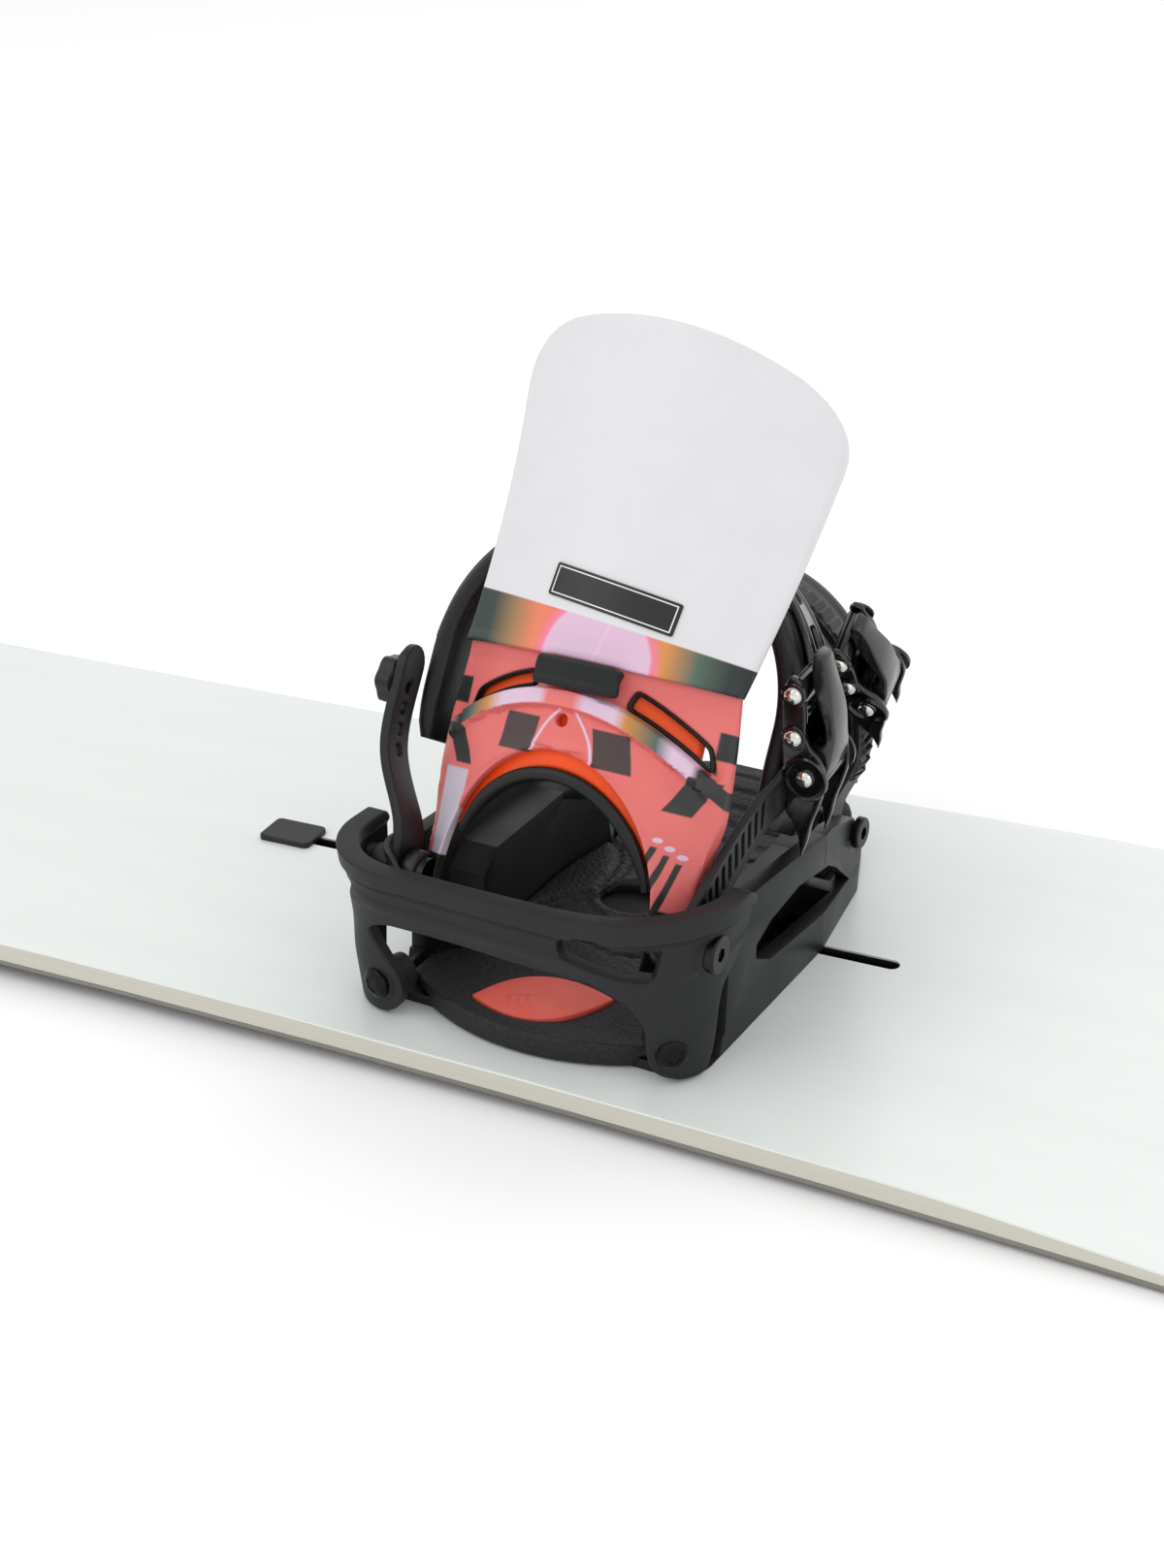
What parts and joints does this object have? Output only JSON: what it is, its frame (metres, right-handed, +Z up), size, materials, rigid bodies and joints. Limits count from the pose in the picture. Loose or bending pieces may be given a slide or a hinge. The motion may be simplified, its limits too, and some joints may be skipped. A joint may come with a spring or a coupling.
{
  "type": "snowboard with bindings",
  "caption": "Cambered snowboard with a white topsheet, inset channels and a pair of strap bindings with canted highbacks, ratchet straps and hinged levers.",
  "frame": {"origin": "under the middle of the board, on the plane that nose and tail contact lines rest on", "axes": "+X along the board towards the right-hand tip, +Y across to the toe edge, +Z up"},
  "size_m": [1.56, 0.2944, 0.2616],
  "materials": {
    "topsheet": "satin clear coat over white graphics",
    "base_black": "sintered base, structured",
    "edge_steel": "ground and polished",
    "wood": "laminated poplar",
    "sidewall": "sanded",
    "rail": "moulded",
    "nylon": "glass-filled nylon, satin",
    "footbed": "leather-grain moulded foam",
    "insert": "soft gel, satin",
    "shell": "frosted translucent",
    "frame": "printed graphic, satin",
    "pad": "moulded foam",
    "lip": "satin",
    "label": "blank plate with a thin pale border",
    "strap": "padded, embossed",
    "ladder": "glossy",
    "buckle": "gloss black",
    "chrome": "polished",
    "screw": "black zinc",
    "plug": "satin"
  },
  "bodies": {
    "board": {"base_sheet": "base_black", "steel_edge": "edge_steel", "wood_core": "wood", "sidewalls": "sidewall", "topsheet": "topsheet", "channel_rails": "rail", "ankle_bolts": "screw", "toe_bolts": "screw", "hoop_screws": "screw", "channel_screws": "screw", "channel_washers": "edge_steel", "channel_nuts": "edge_steel", "baseplate_right": "nylon", "baseplate_left": "nylon", "front_caps_right": "nylon", "front_caps_left": "nylon", "footbed_right": "footbed", "footbed_left": "footbed", "heel_insert_right": "insert", "heel_insert_left": "insert", "heel_hoop_right": "nylon", "heel_hoop_left": "nylon"},
    "highback_right": {"highback_shell_right": "shell", "highback_frame_right": "frame", "highback_pad_right": "pad", "highback_pad_lip_right": "lip", "highback_label_right": "label"},
    "lean_block_right": {"lean_block_right": "nylon"},
    "ankle_strap_right": {"ankle_strap_pad_right": "strap", "ankle_side_strap_right": "ladder", "ankle_ladder_right": "ladder", "ankle_buckle_right": "buckle", "ankle_hardware_right": "chrome"},
    "ankle_lever_right": {"ankle_lever_right": "buckle"},
    "toe_strap_right": {"toe_strap_pad_right": "strap", "toe_side_strap_right": "ladder", "toe_ladder_right": "ladder", "toe_buckle_right": "buckle", "toe_hardware_right": "chrome"},
    "toe_lever_right": {"toe_lever_right": "buckle"},
    "channel_plug_right": {"channel_plug_right": "plug"},
    "highback_left": {"highback_shell_left": "shell", "highback_frame_left": "frame", "highback_pad_left": "pad", "highback_pad_lip_left": "lip", "highback_label_left": "label"},
    "lean_block_left": {"lean_block_left": "nylon"},
    "ankle_strap_left": {"ankle_strap_pad_left": "strap", "ankle_side_strap_left": "ladder", "ankle_ladder_left": "ladder", "ankle_buckle_left": "buckle", "ankle_hardware_left": "chrome"},
    "ankle_lever_left": {"ankle_lever_left": "buckle"},
    "toe_strap_left": {"toe_strap_pad_left": "strap", "toe_side_strap_left": "ladder", "toe_ladder_left": "ladder", "toe_buckle_left": "buckle", "toe_hardware_left": "chrome"},
    "toe_lever_left": {"toe_lever_left": "buckle"},
    "channel_plug_left": {"channel_plug_left": "plug"}
  },
  "joints": [
    {"name": "highback_fold_right", "type": "hinge", "parent": "board", "child": "highback_right", "pos_m": [0.30288, -0.0977, 0.0668], "axis": [0.9969, -0.0785, -0.0108], "range_deg": [0, 22]},
    {"name": "lean_block_slide_right", "type": "slide", "parent": "highback_right", "child": "lean_block_right", "axis": [-0.0486, -0.4985, -0.8655], "range_m": [0, 0.005]},
    {"name": "ankle_strap_swing_right", "type": "hinge", "parent": "board", "child": "ankle_strap_right", "pos_m": [0.30288, -0.0977, 0.0668], "axis": [-0.9969, 0.0785, 0.0108], "range_deg": [0, 4]},
    {"name": "toe_strap_swing_right", "type": "hinge", "parent": "board", "child": "toe_strap_right", "pos_m": [0.31396, 0.04586, 0.04668], "axis": [-0.9969, 0.0785, 0.0108], "range_deg": [0, 35]},
    {"name": "ankle_lever_open_right", "type": "hinge", "parent": "ankle_strap_right", "child": "ankle_lever_right", "pos_m": [0.38125, -0.01957, 0.10395], "axis": [0.079, 0.9945, 0.0689], "range_deg": [0, 110]},
    {"name": "toe_lever_open_right", "type": "hinge", "parent": "toe_strap_right", "child": "toe_lever_right", "pos_m": [0.38333, 0.04146, 0.11193], "axis": [0.0698, 0.8065, 0.5871], "range_deg": [0, 110]},
    {"name": "channel_plug_pull_right", "type": "slide", "parent": "board", "child": "channel_plug_right", "axis": [0.0049, 0, 1], "range_m": [0, 0.015]},
    {"name": "highback_fold_left", "type": "hinge", "parent": "board", "child": "highback_left", "pos_m": [-0.30288, -0.0977, 0.0668], "axis": [0.9969, 0.0785, 0.0108], "range_deg": [0, 22]},
    {"name": "lean_block_slide_left", "type": "slide", "parent": "highback_left", "child": "lean_block_left", "axis": [0.0486, -0.4985, -0.8655], "range_m": [0, 0.005]},
    {"name": "ankle_strap_swing_left", "type": "hinge", "parent": "board", "child": "ankle_strap_left", "pos_m": [-0.30288, -0.0977, 0.0668], "axis": [-0.9969, -0.0785, -0.0108], "range_deg": [0, 4]},
    {"name": "toe_strap_swing_left", "type": "hinge", "parent": "board", "child": "toe_strap_left", "pos_m": [-0.31396, 0.04586, 0.04668], "axis": [-0.9969, -0.0785, -0.0108], "range_deg": [0, 35]},
    {"name": "ankle_lever_open_left", "type": "hinge", "parent": "ankle_strap_left", "child": "ankle_lever_left", "pos_m": [-0.38125, -0.01957, 0.10395], "axis": [0.079, -0.9945, -0.0689], "range_deg": [0, 110]},
    {"name": "toe_lever_open_left", "type": "hinge", "parent": "toe_strap_left", "child": "toe_lever_left", "pos_m": [-0.38333, 0.04146, 0.11193], "axis": [0.0698, -0.8065, -0.5871], "range_deg": [0, 110]},
    {"name": "channel_plug_pull_left", "type": "slide", "parent": "board", "child": "channel_plug_left", "axis": [-0.0049, 0, 1], "range_m": [0, 0.015]}
  ]
}
